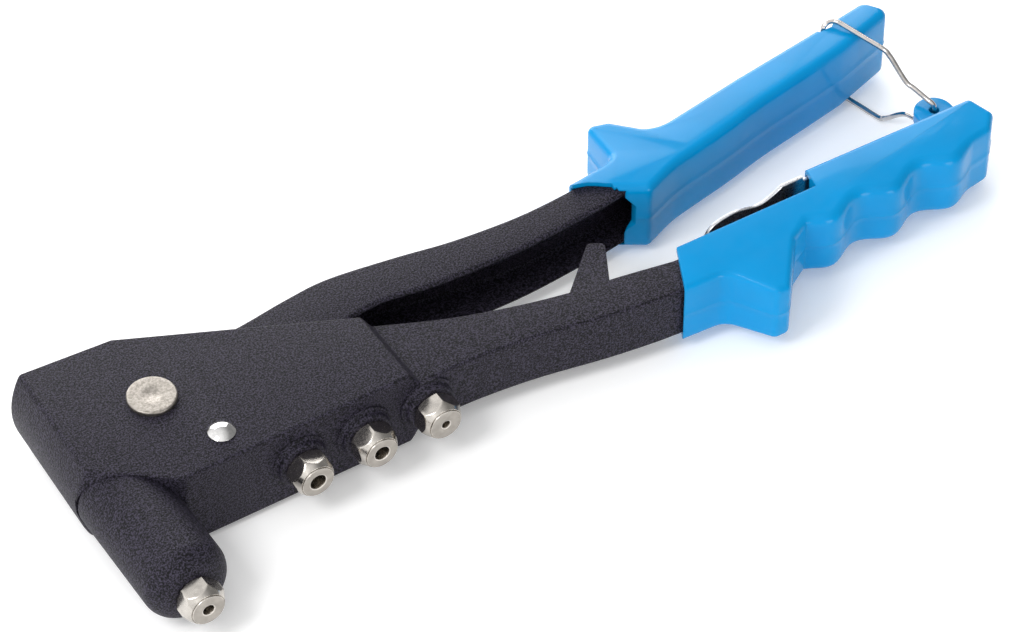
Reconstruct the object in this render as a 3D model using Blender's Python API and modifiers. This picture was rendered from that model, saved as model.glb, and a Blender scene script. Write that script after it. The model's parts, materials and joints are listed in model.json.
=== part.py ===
"""Hand riveter: a pliers-type blind-rivet tool lying on its side.

Lengths below are in millimetres in the tool's own frame: the pivot's axis is the origin and +Z,
+X runs along the handles, and the nosepiece points along -Y. The root empty scales them to metres
and puts the origin at the middle of the tool's underside.
"""

from math import cos, pi, radians, sin, sqrt, tan

import bmesh
import bpy
from mathutils import Matrix, Vector

MM = 0.001

# Cast body: head, front wall and fixed arm.
HEAD_HALF = 11.4
HEAD_INNER_HALF = 9.7
ARM_HALF = 7.6
ARM_INNER_HALF = 5.9
HEAD_SIDE = -23.2
HEAD_SIDE_BULGE = 3.1
HEAD_SIDE_SLANT = 0.035
HEAD_BACK = 24.0
HEAD_FRONT = -26.8
HEAD_START = -12.5
FRONT_WALL = 3.0
STEP_START, STEP_END = 55.3, 58.6
ARM_END = 212.0

# Barrel and what slides in it, all round the line x = BARREL_X.
BARREL_X = -16.8
AXIS = (BARREL_X, 0)
BARREL_R = 10.8
BARREL_BORE_R = 7.2
BARREL_REAR = -12.5
BARREL_NOSE = -50.1
NOSE_ROUND = 6.0
SOCKET_R = 10.95
CASE_R = 6.9
CASE_BORE_R = 5.2
CASE_FRONT, CASE_REAR = -38.0, 8.0
COLLAR_R = 8.4
COLLAR_FRONT, COLLAR_REAR = 0.95, 4.5
JAW_COUNT = 3
JAW_FRONT, JAW_REAR = -34.5, -22.5
PUSHER_FRONT, PUSHER_STEP, PUSHER_REAR = -22.1, -16.0, -10.0
SPRING_R, SPRING_WIRE_R, SPRING_TURNS = 4.0, 0.5, 9
SPRING_FRONT, SPRING_REAR = -15.7, 16.0
PLUG_FRONT, PLUG_REAR, PLUG_R = 16.9, 22.2, 6.4

# Lever: a folded sheet channel.
LEVER_HALF = 9.0
LEVER_SHEET = 1.1
LEVER_END = 208.0
TOE_CENTRE = (BARREL_X, -3.0)
TOE_R = 3.5
HUB_R = 9.6

# Pins.
PIVOT_R, PIVOT_HEAD_R, PIVOT_TAIL_R, PIVOT_HEAD_TOP = 3.7, 6.2, 5.6, 12.7
STOP_PIN_AT = (8.6, -18.4)
STOP_PIN_R, STOP_PIN_HEAD_R = 2.2, 3.4

# Nosepieces: (node, x, mandrel hole radius); the first sits in the barrel, the rest in the front wall.
NOSEPIECES = (
    ("nosepiece_32", BARREL_X, 1.35),
    ("nosepiece_48", 24.8, 2.0),
    ("nosepiece_40", 42.4, 1.85),
    ("nosepiece_24", 60.2, 1.0),
)
HEX_AF = 10.0
HEX_CORNER_R = 5.72
BACK_CHAMFER, FRONT_CHAMFER = 0.8, 2.2
NOSE_LENGTH = 6.3
NOSE_FACE_R, NOSE_FACE_STEP = 4.2, 0.35
SHANK_R, SHANK_LENGTH = 3.5, 7.3
THREAD_HOLE_R = 3.8
BOSS_R, BOSS_FRONT = 6.5, -28.8
SEAT_GAP = 0.02

# Grips.
FIXED_GRIP_HALF = 9.25
MOVING_GRIP_HALF = 10.5
GRIP_EDGE = 1.6
EAR_AT, EAR_R, EAR_HALF, EAR_HOLE_R = (223.6, -8.0), 5.2, 2.0, 1.35
WAVE_PITCH, WAVE_CREST_X, WAVE_HEIGHT = 19.0, 194.0, 1.8

# Spanner and latch.
SPANNER_Y = (-16.5, -15.4)
LATCH_WIRE_R = 0.7
LATCH_OVER = 11.8

GAP = 0.3
RUNNING_GAP = 0.1


# ---------------------------------------------------------------- scene and materials


def clear_scene():
    for obj in list(bpy.data.objects):
        bpy.data.objects.remove(obj, do_unlink=True)


def new_collection(name):
    collection = bpy.data.collections.new(name)
    bpy.context.scene.collection.children.link(collection)
    return collection


def material(name, colour, roughness, metallic):
    made = bpy.data.materials.new(name)
    made.use_nodes = True
    shader = made.node_tree.nodes["Principled BSDF"]
    shader.inputs["Base Color"].default_value = (*colour, 1)
    shader.inputs["Roughness"].default_value = roughness
    shader.inputs["Metallic"].default_value = metallic
    made.diffuse_color = (*colour, 1)
    return made


def add_object(name, mesh, finish=None, collection=None):
    obj = bpy.data.objects.new(name, mesh)
    if finish:
        mesh.materials.clear()
        mesh.materials.append(finish)
    (collection or SHAPES).objects.link(obj)
    if collection is None:
        obj.hide_render = True
        obj.display_type = "WIRE"
    return obj


def node(name, shape, finish, axis_at=(0, 0)):
    """Turns a finished shape into a named piece of the tool, with its origin on the axis it moves about."""
    mesh = evaluated_mesh(shape)
    mesh.transform(Matrix.Translation((-axis_at[0], -axis_at[1], 0)))
    piece = add_object(name, mesh, finish, PIECES)
    piece.location = (*axis_at, 0)
    mesh.shade_smooth()
    mesh.set_sharp_from_angle(angle=radians(32))
    piece.parent = ROOT


def place_origin():
    """Scales the tool to metres and puts the frame's origin at the middle of its underside."""
    corners = [piece.location + vert.co for piece in ROOT.children for vert in piece.data.vertices]
    low = Vector([min(corner[i] for corner in corners) for i in range(3)])
    high = Vector([max(corner[i] for corner in corners) for i in range(3)])
    ROOT.scale = (MM, MM, MM)
    ROOT.location = -MM * Vector(((low.x + high.x) / 2, (low.y + high.y) / 2, low.z))


# ---------------------------------------------------------------- outline helpers


def arc(centre, radius, start, end, count=10):
    """Points from one angle to another, in degrees, both ends included."""
    step = (end - start) / count
    angles = [radians(start + step * i) for i in range(count + 1)]
    return [(centre[0] + radius * cos(a), centre[1] + radius * sin(a)) for a in angles]


def smooth(points, per=4):
    """A Catmull-Rom curve through the points."""
    curve = []
    last = len(points) - 1
    for i in range(last):
        p0, p1, p2, p3 = (Vector(points[max(0, min(last, i + k))]) for k in (-1, 0, 1, 2))
        for j in range(per):
            t = j / per
            out = 2 * p1 + (p2 - p0) * t + (2 * p0 - 5 * p1 + 4 * p2 - p3) * t**2
            out += (3 * p1 - 3 * p2 + p3 - p0) * t**3
            curve.append(tuple(out / 2))
    return curve + [tuple(points[-1])]


def fillet(outline, count=3):
    """Rounds the corners of a closed outline that carry a radius: (x, y, radius)."""
    rounded = []
    total = len(outline)
    for i, (x, y, *radius) in enumerate(outline):
        here = Vector((x, y))
        if not radius:
            rounded.append((x, y))
            continue
        before = (Vector(outline[i - 1][:2]) - here).normalized()
        after = (Vector(outline[(i + 1) % total][:2]) - here).normalized()
        half = before.angle(after) / 2
        middle = here + (before + after).normalized() * radius[0] / sin(half)
        reach = radius[0] * cos(half) / sin(half)
        start, end = ((here + way * reach - middle).normalized() for way in (before, after))
        for j in range(count + 1):
            rounded.append(tuple(middle + start.slerp(end, j / count) * radius[0]))
    return rounded


# ---------------------------------------------------------------- shape helpers


def evaluated_mesh(obj):
    """The object's mesh with its modifiers applied, in place, and its loose caps welded."""
    graph = bpy.context.evaluated_depsgraph_get()
    mesh = bpy.data.meshes.new_from_object(obj.evaluated_get(graph))
    mesh.transform(obj.matrix_world)
    if obj.type == "CURVE":
        bm = bmesh.new()
        bm.from_mesh(mesh)
        bmesh.ops.remove_doubles(bm, verts=bm.verts, dist=0.0005)
        bmesh.ops.recalc_face_normals(bm, faces=bm.faces)
        bm.to_mesh(mesh)
        bm.free()
    bpy.data.objects.remove(obj, do_unlink=True)
    return mesh


def plate(outline, low, high, turn=None):
    """A flat outline given thickness along Z, then turned by a matrix."""
    data = bpy.data.curves.new("outline", "CURVE")
    data.dimensions = "2D"
    data.fill_mode = "BOTH"
    data.extrude = (high - low) / 2
    spline = data.splines.new("POLY")
    spline.points.add(len(outline) - 1)
    for point, (x, y) in zip(spline.points, outline):
        point.co = (x, y, 0, 1)
    spline.use_cyclic_u = True
    curve = add_object("outline", data)
    curve.location.z = (high + low) / 2
    bpy.context.view_layer.update()
    mesh = evaluated_mesh(curve)
    if turn:
        mesh.transform(turn)
    return add_object("plate", mesh)


SIDEWAYS = Matrix.Rotation(radians(90), 4, "X")  # (x, y, z) to (x, -z, y)


def side_plate(outline, low_y, high_y):
    """An outline in the XZ plane given thickness along Y."""
    return plate(outline, -high_y, -low_y, SIDEWAYS)


def turned(profile, steps=32):
    """A turned shape from (radius, z) points that run down its outer side, on the Z axis."""
    bm = bmesh.new()
    verts = [bm.verts.new((r, 0, z)) for r, z in profile]
    for a, b in zip(verts, verts[1:]):
        bm.edges.new((a, b))
    mesh = bpy.data.meshes.new("profile")
    bm.to_mesh(mesh)
    bm.free()
    obj = add_object("turned", mesh)
    screw = obj.modifiers.new("screw", "SCREW")
    screw.steps = screw.render_steps = steps
    screw.use_merge_vertices = True
    screw.merge_threshold = 0.0001
    return add_object("turned", evaluated_mesh(obj))


def ring(outer, inner, low, high, steps=32):
    """A plain tube, or a disc where inner is 0."""
    profile = [(inner, high), (outer, high), (outer, low), (inner, low)]
    return turned(profile + profile[:1] if inner else profile, steps)


def along_barrel(obj, x=BARREL_X):
    """Lays a shape turned about Z along Y, so that its z becomes the tool's y."""
    obj.data.transform(Matrix.Translation((x, 0, 0)) @ Matrix.Rotation(radians(-90), 4, "X"))
    return obj


def moved(obj, x, y, z=0):
    obj.data.transform(Matrix.Translation((x, y, z)))
    return obj


def combine(shape, others, operation):
    """A Boolean with each of the others, which it uses up."""
    for other in others:
        step = shape.modifiers.new("combine", "BOOLEAN")
        step.operation = operation
        step.solver = "EXACT"
        step.object = other
        bpy.context.view_layer.update()
        shape = add_object("shape", evaluated_mesh(shape))
        bpy.data.objects.remove(other, do_unlink=True)
    return shape


def cut(shape, *others):
    return combine(shape, others, "DIFFERENCE")


def joined(shape, *others):
    return combine(shape, others, "UNION")


def common(shape, *others):
    return combine(shape, others, "INTERSECT")


def inset(outline, distance):
    """The outline moved inwards by a distance; it runs anticlockwise."""
    moved_in = []
    for i, here in enumerate(outline):
        here = Vector(here)
        before = (here - Vector(outline[i - 1])).normalized()
        after = (Vector(outline[(i + 1) % len(outline)]) - here).normalized()
        normal = Vector((-before.y - after.y, before.x + after.x)).normalized()
        moved_in.append(here + normal * distance / max(0.5, normal.dot((-before.y, before.x))))
    return moved_in


def softened(outline, half, edge, steps=2):
    """A plate of the outline, from -half to half, with rounded rims."""
    area = sum(x0 * y1 - x1 * y0 for (x0, y0), (x1, y1) in zip(outline, outline[1:] + outline[:1]))
    outline = outline if area > 0 else outline[::-1]
    turns = [pi / 2 * i / steps for i in range(steps + 1)]
    levels = [(edge * (1 - cos(a)), half - edge + edge * sin(a)) for a in turns]
    levels = [(back, -z) for back, z in levels[::-1]] + levels
    bm = bmesh.new()
    rings = [[bm.verts.new((x, y, z)) for x, y in inset(outline, back)] for back, z in levels]
    for lower, upper in zip(rings, rings[1:]):
        for i in range(len(outline)):
            bm.faces.new((lower[i - 1], lower[i], upper[i], upper[i - 1]))
    bm.faces.new(rings[0][::-1])
    bm.faces.new(rings[-1])
    mesh = bpy.data.meshes.new("softened")
    bm.to_mesh(mesh)
    bm.free()
    return add_object("softened", mesh)


def wire(points, radius, closed=False, resolution=2):
    """A round wire along the points."""
    data = bpy.data.curves.new("wire", "CURVE")
    data.dimensions = "3D"
    data.bevel_depth = radius
    data.bevel_resolution = resolution
    data.use_fill_caps = True
    spline = data.splines.new("POLY")
    spline.points.add(len(points) - 1)
    for point, place in zip(spline.points, points):
        point.co = (*place, 1)
    spline.use_cyclic_u = closed
    obj = add_object("wire", data)
    bpy.context.view_layer.update()
    return add_object("wire", evaluated_mesh(obj))


# ---------------------------------------------------------------- body

ARM_BACK = smooth(
    [
        *[(54.5, -1.9), (59.5, -3.8), (67, -7.2), (77, -11.3)],
        *[(92, -15.9), (106, -19), (118, -20.6), (133, -23.2)],
    ],
    2,
)
ARM_FRONT = smooth([(62, -26.1), (74, -26.1), (90, -27.6), (109, -31.0), (122, -32.7), (130, -33.3)], 2)


def side_profile(head_half, arm_half, bulge, end):
    """The body's outline seen from the front: the rounded side, the head, the step and the arm."""
    radius = (head_half**2 + bulge**2) / (2 * bulge) if bulge else 0
    reach = sqrt(radius**2 - head_half**2) if bulge else 0
    across = [(x, z) for x, z in ((STEP_START, head_half), (STEP_END, arm_half), (end, arm_half))]
    outline = [(x, -z) for x, z in across] + across[::-1]
    if bulge:
        for i in range(9):
            z = head_half * cos(pi * i / 8)
            outline.append((HEAD_SIDE + reach - sqrt(radius**2 - z**2), z))
    else:
        outline += [(HEAD_SIDE - 10, head_half), (HEAD_SIDE - 10, -head_half)]
    return outline


def slanted(profile):
    """Leans the head's side wall outwards, more towards the nose."""
    for vert in profile.data.vertices:
        if vert.co.x < HEAD_SIDE + 2:
            vert.co.x -= HEAD_SIDE_SLANT * (HEAD_BACK - vert.co.y)
    return profile


def spur():
    """The pointed tab that stops the handles from closing on each other."""
    outline = fillet([(103, -22), (105.6, -19.0), (118.3, -7.0, 1.3), (122.0, -9.3, 1.3), (115.0, -22.5)])
    return [plate(outline, ARM_INNER_HALF, ARM_HALF), plate(outline, -ARM_HALF, -ARM_INNER_HALF)]


def body_frame():
    outline = [(-34, HEAD_START), (-34, HEAD_BACK + 0.6), (1, 22.6), *ARM_BACK]
    outline += [(150, -23.6), (ARM_END, -21.6), (ARM_END, -25.8), (165, -28), (146, -32.2)]
    outline += [*ARM_FRONT[::-1], (-6.2, HEAD_FRONT), (-24.8, HEAD_START)]
    profile = side_profile(HEAD_HALF, ARM_HALF, HEAD_SIDE_BULGE, ARM_END + 5)
    body = common(plate(outline, -20, 20), slanted(side_plate(profile, -60, 60)))
    hollow = [(-22.6, HEAD_START), (-5.2, HEAD_START), (-5.2, HEAD_FRONT + FRONT_WALL)]
    hollow += [(62, -23.4), (74, -23.5), (90, -25), (109, -28.4), (128, -31), (146, -29.6)]
    hollow += [(165, -25.6), (ARM_END + 3, -23.4), (ARM_END + 3, 40), (-7, 40)]
    hollow += [(-7, PLUG_FRONT), (-22.6, PLUG_FRONT)]
    inside = side_profile(HEAD_INNER_HALF, ARM_INNER_HALF, 0, ARM_END + 5)
    body = cut(body, common(plate(hollow, -20, 20), side_plate(inside, -60, 60)))
    bosses = [ring(BOSS_R, 0, BOSS_FRONT, HEAD_FRONT + 2, 32) for _ in NOSEPIECES[1:]]
    bosses = [along_barrel(boss, x) for boss, (_, x, _) in zip(bosses, NOSEPIECES[1:])]
    body = joined(body, *spur(), *bosses)
    socket = ring(SOCKET_R, 0, HEAD_FRONT - 4, HEAD_START + 1, 48)
    run = ring(COLLAR_R + GAP, 0, HEAD_START, PLUG_FRONT + 0.01)
    plug_hole = ring(PLUG_R + GAP, 0, PLUG_FRONT - 1, HEAD_BACK + 2)
    body = cut(body, *(along_barrel(hole) for hole in (socket, run, plug_hole)))
    pivot_hole = ring(PIVOT_R + RUNNING_GAP, 0, -20, 20, 40)
    pin_hole = moved(ring(STOP_PIN_R + GAP, 0, -20, 20, 24), *STOP_PIN_AT)
    body = cut(body, pivot_hole, pin_hole)
    for _, x, _ in NOSEPIECES[1:]:
        body = cut(body, along_barrel(ring(THREAD_HOLE_R, 0, BOSS_FRONT - 2, HEAD_FRONT + 6, 24), x))
    node("body_frame", body, BLACK)


# ---------------------------------------------------------------- barrel and pulling parts


def barrel():
    nose = arc((BARREL_R - NOSE_ROUND, BARREL_NOSE + NOSE_ROUND), NOSE_ROUND, 0, -90, 6)
    profile = [(BARREL_BORE_R, BARREL_REAR), (BARREL_R, BARREL_REAR), *nose]
    profile += [(THREAD_HOLE_R, BARREL_NOSE), (THREAD_HOLE_R, BARREL_NOSE + 3.8)]
    profile += [(BARREL_BORE_R, BARREL_NOSE + 3.8), (BARREL_BORE_R, BARREL_REAR)]
    node("barrel", along_barrel(turned(profile, 40)), BLACK, AXIS)


def jaw_case():
    front_r = 4.2
    profile = [(CASE_BORE_R, CASE_REAR), (CASE_R, CASE_REAR), (CASE_R, CASE_FRONT + 1.5)]
    profile += [(CASE_R - 1.5, CASE_FRONT), (front_r, CASE_FRONT), (front_r, JAW_FRONT)]
    profile += [(CASE_BORE_R, JAW_REAR), (CASE_BORE_R, CASE_REAR)]
    node("jaw_case", along_barrel(turned(profile)), STEEL, AXIS)
    collar = ring(COLLAR_R, CASE_R + GAP, COLLAR_FRONT, COLLAR_REAR)
    node("jaw_collar", along_barrel(collar), STEEL, AXIS)


def jaws():
    """Three wedges cut from one cone, a saw cut apart."""
    for i in range(JAW_COUNT):
        profile = [(1.3, JAW_REAR), (4.8, JAW_REAR), (3.8, JAW_FRONT), (1.3, JAW_FRONT)]
        cone = along_barrel(turned(profile + profile[:1], 24))
        middle = 360 / JAW_COUNT * i + 90
        half = 180 / JAW_COUNT
        offset = GAP / sin(radians(half))
        wedge = [(0, 0), *arc((0, 0), 9, middle - half, middle + half, 6)]
        shift = (offset * cos(radians(middle)), offset * sin(radians(middle)))
        wedge = [(BARREL_X + x + shift[0], z + shift[1]) for x, z in wedge]
        node(f"jaw_{i + 1}", common(cone, side_plate(wedge, -40, -10)), STEEL, AXIS)


def jaw_pusher():
    profile = [(1.6, PUSHER_REAR), (2.6, PUSHER_REAR), (2.6, PUSHER_STEP), (4.8, PUSHER_STEP)]
    profile += [(4.8, PUSHER_FRONT), (1.6, PUSHER_FRONT), (1.6, PUSHER_REAR)]
    node("jaw_pusher", along_barrel(turned(profile, 24)), STEEL, AXIS)


def jaw_spring():
    """A coil whose two ends are closed turns."""
    per_turn = 12
    count = SPRING_TURNS * per_turn
    closed_turn = 2 * SPRING_WIRE_R + 0.06
    low, high = SPRING_FRONT + SPRING_WIRE_R, SPRING_REAR - SPRING_WIRE_R
    open_rise = (high - low - 2 * closed_turn) / (SPRING_TURNS - 2)
    points = []
    for i in range(count + 1):
        turn = i / per_turn
        y = low + closed_turn * min(turn, 1) + open_rise * max(0, min(turn - 1, SPRING_TURNS - 2))
        y += closed_turn * max(0, turn - SPRING_TURNS + 1)
        angle = 2 * pi * turn
        points.append((BARREL_X + SPRING_R * cos(angle), y, SPRING_R * sin(angle)))
    node("jaw_spring", wire(points, SPRING_WIRE_R, resolution=1), STEEL, AXIS)


def spring_plug():
    """The screwed plug behind the spring; spent mandrels drop out through its hole."""
    plug = ring(PLUG_R, 2.6, PLUG_FRONT, PLUG_REAR)
    slot = plate([(-8, -0.8), (8, -0.8), (8, 0.8), (-8, 0.8)], PLUG_REAR - 1.2, PLUG_REAR + 1)
    node("spring_plug", along_barrel(cut(plug, slot)), STEEL, AXIS)


def nosepiece(name, x, hole_r, seat_y):
    """A hexagon chamfered at both ends, a round face, a threaded shank and a mandrel hole."""
    corners = [(HEX_AF / sqrt(3) * cos(pi * i / 3), HEX_AF / sqrt(3) * sin(pi * i / 3)) for i in range(6)]
    face = seat_y - NOSE_LENGTH
    front = face + NOSE_FACE_STEP
    hexagon = plate(corners, front, seat_y)
    slope = tan(radians(30))
    limits = [(0, seat_y + 1), (HEX_CORNER_R - BACK_CHAMFER - 1, seat_y + 1)]
    limits += [(HEX_CORNER_R, seat_y - BACK_CHAMFER), (HEX_CORNER_R, front + FRONT_CHAMFER)]
    limits += [(HEX_CORNER_R - (FRONT_CHAMFER + 0.1) * slope, front - 0.1), (0, front - 0.1)]
    top = seat_y + SHANK_LENGTH
    profile = [(0, top), (SHANK_R - 0.6, top), (SHANK_R, top - 0.6), (SHANK_R, seat_y - 1)]
    profile += [(NOSE_FACE_R, seat_y - 1.5), (NOSE_FACE_R, face + 0.15)]
    profile += [(NOSE_FACE_R - 0.15, face), (0, face)]
    solid = joined(common(hexagon, turned(limits, 36)), turned(profile, 36))
    solid = cut(solid, ring(hole_r, 0, face - 1, top + 1, 20))
    node(name, along_barrel(solid, x), NICKEL, (x, 0))


def nosepieces():
    (name, x, hole_r), *spares = NOSEPIECES
    nosepiece(name, x, hole_r, BARREL_NOSE - SEAT_GAP)
    for name, x, hole_r in spares:
        nosepiece(name, x, hole_r, BOSS_FRONT - SEAT_GAP)


# ---------------------------------------------------------------- lever and pins

LEVER_BACK = smooth(
    [(10, 10.9), (29.5, 12.4), (45, 14.6), (57, 15.4), (75, 13.1), (90, 10.6), (108, 9.4),
     (124, 10.3), (140, 12.2), (160, 16.0), (LEVER_END, 22.4)], 3
)
LEVER_FRONT = smooth(
    [(5, -9.1), (28, -4.6), (52, 0), (64, 1.5), (77, -0.3), (90, -1.0), (105, -1.0), (120, 0.3), (133, 1.9),
     (160, 7.3), (LEVER_END, 17.4)], 3
)


def lever_outline():
    """The lever's flange in plan: hub, toe and the long curved arm."""
    hub_back = arc((0, 0), HUB_R, 78, 190, 8)
    toe = [*arc(TOE_CENTRE, TOE_R, 40, 180, 8), (-20.0, -3.7), (-19.2, -4.1), (-12, -5.6)]
    hub_front = arc((0, 0), HUB_R, 218, 300, 6)
    return hub_back + toe + hub_front + LEVER_FRONT + LEVER_BACK[::-1]


def moving_lever():
    lever = plate(lever_outline(), -LEVER_HALF, LEVER_HALF)
    inner = LEVER_HALF - LEVER_SHEET
    web_start = 15.0
    back = [(x, y - LEVER_SHEET) for x, y in LEVER_BACK if x > web_start]
    hollow = [(-40, -40), (LEVER_END + 10, -40), (LEVER_END + 10, back[-1][1] + 1.5), *back[::-1]]
    hollow += [(web_start, back[0][1]), (web_start, 40), (-40, 40)]
    lever = cut(lever, plate(hollow, -inner, inner), ring(PIVOT_R + RUNNING_GAP, 0, -20, 20, 40))
    node("moving_lever", lever, BLACK)


def pivot():
    top = PIVOT_HEAD_TOP
    under = HEAD_HALF + GAP
    profile = [(0, top), (PIVOT_HEAD_R - 0.5, top), (PIVOT_HEAD_R, top - 0.5), (PIVOT_HEAD_R, under)]
    profile += [(PIVOT_R, under), (PIVOT_R, -under), (PIVOT_TAIL_R, -under), (PIVOT_TAIL_R, -top + 0.4)]
    profile += [(PIVOT_TAIL_R - 0.4, -top), (0, -top)]
    node("pivot_rivet", turned(profile, 40), RIVET)
    bush = LEVER_HALF - LEVER_SHEET - GAP
    node("pivot_bush", ring(5.6, PIVOT_R + RUNNING_GAP, -bush, bush, 40), STEEL)


def stop_pin():
    dome_rise = 1.1
    under = HEAD_HALF + GAP
    dome_r = (STOP_PIN_HEAD_R**2 + dome_rise**2) / (2 * dome_rise)
    top = under + 0.3 + dome_rise
    dome = [(STOP_PIN_HEAD_R * i / 6, 0) for i in range(7)]
    dome = [(r, top - dome_r + sqrt(dome_r**2 - r**2)) for r, _ in dome]
    profile = dome + [(STOP_PIN_HEAD_R, under), (STOP_PIN_R, under), (STOP_PIN_R, -under)]
    profile += [(3.3, -under), (3.3, 0.5 - PIVOT_HEAD_TOP), (2.9, -PIVOT_HEAD_TOP), (0, -PIVOT_HEAD_TOP)]
    node("stop_pin", moved(turned(profile, 28), *STOP_PIN_AT), CHROME, STOP_PIN_AT)


# ---------------------------------------------------------------- grips


def finger_side(x):
    """The fixed grip's outer side: a straight fall with three finger waves."""
    base = -31.2 + 0.035 * (x - 186)
    return base - WAVE_HEIGHT * cos(2 * pi * (x - WAVE_CREST_X) / WAVE_PITCH)


def fixed_grip_outline():
    horn = [(141.0, -35.2, 5.0), (148.0, -46.9, 2.2), (152.0, -46.9, 2.2), (162.5, -33.6, 3.0)]
    waves = [(x, finger_side(x)) for x in [168 + 2.375 * i for i in range(23)]]
    end = [(227.0, -27.4, 3.2), (231.3, -22.6, 2.0), (229.2, -14.6, 1.8)]
    return fillet([(118, -34.1), *horn, *waves, *end, (118, -13.9)])


def fixed_grip():
    grip = softened(fixed_grip_outline(), FIXED_GRIP_HALF, GRIP_EDGE)
    ear = [(212, -16), (215, -13.2), (218.6, -10), *arc(EAR_AT, EAR_R, 165, 0, 10), (229.0, -16)]
    ear = plate(ear, -EAR_HALF, EAR_HALF)
    ear_hole = moved(ring(EAR_HOLE_R, 0, -5, 5, 16), *EAR_AT)
    grip = cut(joined(grip, ear), ear_hole)
    sleeve = [(120, -20.9), (ARM_END + 1.5, -20.9), (ARM_END + 1.5, -26.3)]
    sleeve += [(165, -28.4), (146, -32.7), (130, -33.7), (120, -33.6)]
    bore = plate(sleeve, -ARM_HALF - GAP, ARM_HALF + GAP)
    pocket = plate([(170, -17.3), (192.5, -17.3), (192.5, -15.0), (170, -15.0)], -7.6, 7.6)
    window = [(110, -50), (128.7, -50), (128.7, -35), (135.2, -21.3)]
    window = plate([*window, (177, -21.3), (178.4, -14.6), (181, -10), (110, -10)], -15, 15)
    node("fixed_grip", cut(grip, window, bore, pocket), BLUE)


GRIP_BACK = [(160, 18.9), (182, 22.6), (203, 25.7), (218, 28.2)]
GRIP_FRONT = [(149, 2.0), (154, 3.5), (170, 6.9), (184, 10.4), (199, 13.3), (212, 15.9)]


def moving_grip_outline():
    horn = [(139.2, 14.4, 3), (140.4, 29.2, 2.2), (146.8, 27.4, 2.6), (155.0, 18.3, 7)]
    end = [(227.4, 30.2, 2.8), (231.2, 22.2, 2.8)]
    front = [*GRIP_FRONT[::-1], (140.8, -1.5, 2.4), (133.2, 3.4), (118, 3.4)]
    return fillet([(118, 10.9), (127, 11.9), (135, 13.1), *horn, *GRIP_BACK, *end, *front])


def moving_grip():
    grip = softened(moving_grip_outline(), MOVING_GRIP_HALF, GRIP_EDGE)
    back = [(x, y + GAP) for x, y in LEVER_BACK if x > 118]
    front = [(x, y - GAP) for x, y in LEVER_FRONT if x > 118]
    reach = LEVER_END + 0.6
    sleeve = [(112, 10.2), *back, (reach, back[-1][1]), (reach, front[-1][1]), *front[::-1], (112, -1.6)]
    bore = plate(sleeve, -LEVER_HALF - GAP, LEVER_HALF + GAP)
    notch = plate([(210.2, 24.9), (214.0, 24.9), (217.0, 27.4), (217.0, 32), (210.2, 32)], -15, 15)
    mouth = [(110, -10), (133.4, -10), (133.4, 5.3), (130.4, 7.6), (128.4, 8.9), (124.8, 10.0), (124.8, 20)]
    lip = [(120, 14), (132.8, 14), (134.5, 8.3), (137.8, 4.0), (137.8, -2.0), (136.3, -3.5)]
    lip = side_plate([*lip, (134.9, -6.0), (133.5, -8.4), (133.5, -14), (120, -14)], -12, 4)
    node("moving_grip", cut(grip, plate([*mouth, (110, 20)], -15, 15), lip, bore, notch), BLUE)


def nosepiece_spanner():
    """A flat stamped spanner that stands on edge in the fixed grip's open side."""
    upper = smooth([(147.0, 1.5), (149.5, 5.0), (156, 6.5), (163, 5.3), (167, 6.4), (170.3, 8.4)], 3)
    upper += [(176.4, 8.4), (176.8, 7.2), (191.5, 7.2), (191.5, 5.1), (182, 5.1), (179.4, 0)]
    lower = [(x, -z) for x, z in upper[-2::-1]]
    node("nosepiece_spanner", side_plate(upper + lower, *SPANNER_Y), ZINC)


def latch_wire():
    """A bail whose ends meet in the ear's hole; its cross-bar drops into the moving grip's notch."""
    x, y = EAR_AT
    bar = (212.0, 25.85)
    upper = [(x, y, 0.45), (x, y, 2.6), (x - 0.2, y + 0.6, 3.7), (x - 0.8, y + 2.6, 4.3)]
    upper += [(222.0, -1.0, 4.9), (221.4, 1.0, 5.3), (220.8, 3.4, 7.2), (220.2, 5.8, 9.6), (219.8, 7.4, 10.8)]
    upper += [(219.3, 9.2, LATCH_OVER), (217.6, 16.0, LATCH_OVER), (215.9, 22.8, LATCH_OVER)]
    upper += [(215.2, 24.6, LATCH_OVER), (214.2, 25.6, LATCH_OVER - 0.1)]
    upper += [(213.2, 25.95, LATCH_OVER - 0.5), (212.3, 25.95, LATCH_OVER - 1.3)]
    upper += [(*bar, LATCH_OVER - 2.4), (*bar, 4.0)]
    lower = [(px, py, -pz) for px, py, pz in upper[::-1]]
    node("latch_wire", wire(upper + lower, LATCH_WIRE_R), CHROME, EAR_AT)


# ---------------------------------------------------------------- build

clear_scene()
PIECES = new_collection("hand_riveter")
SHAPES = new_collection("cutters")
ROOT = bpy.data.objects.new("tool_origin", None)
PIECES.objects.link(ROOT)

BLACK = material("black_powder_coat", (0.022, 0.021, 0.024), 0.55, 0.0)
BLUE = material("blue_grip", (0.0, 0.33, 0.75), 0.25, 0.0)
STEEL = material("steel", (0.45, 0.45, 0.46), 0.35, 1.0)
RIVET = material("rivet_steel", (0.62, 0.6, 0.56), 0.4, 1.0)
CHROME = material("chrome", (0.75, 0.75, 0.76), 0.12, 1.0)
NICKEL = material("nickel", (0.62, 0.6, 0.57), 0.25, 1.0)
ZINC = material("zinc_plate", (0.6, 0.61, 0.62), 0.35, 1.0)

body_frame()
barrel()
jaw_case()
jaws()
jaw_pusher()
jaw_spring()
spring_plug()
nosepieces()
moving_lever()
pivot()
stop_pin()
fixed_grip()
moving_grip()
nosepiece_spanner()
latch_wire()
place_origin()
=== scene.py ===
"""Hand riveter: detailed pieces and materials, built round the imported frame.

Lengths are in millimetres in the tool's own frame: the pivot's axis is the origin and +Z, +X runs
along the handles, and the nosepiece points along -Y. place() turns each piece into metres in the
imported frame. The studio's lengths are in metres.
"""

import json
from math import cos, pi, radians, sin, sqrt

import bmesh
import bpy
from mathutils import Matrix, Vector


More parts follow.
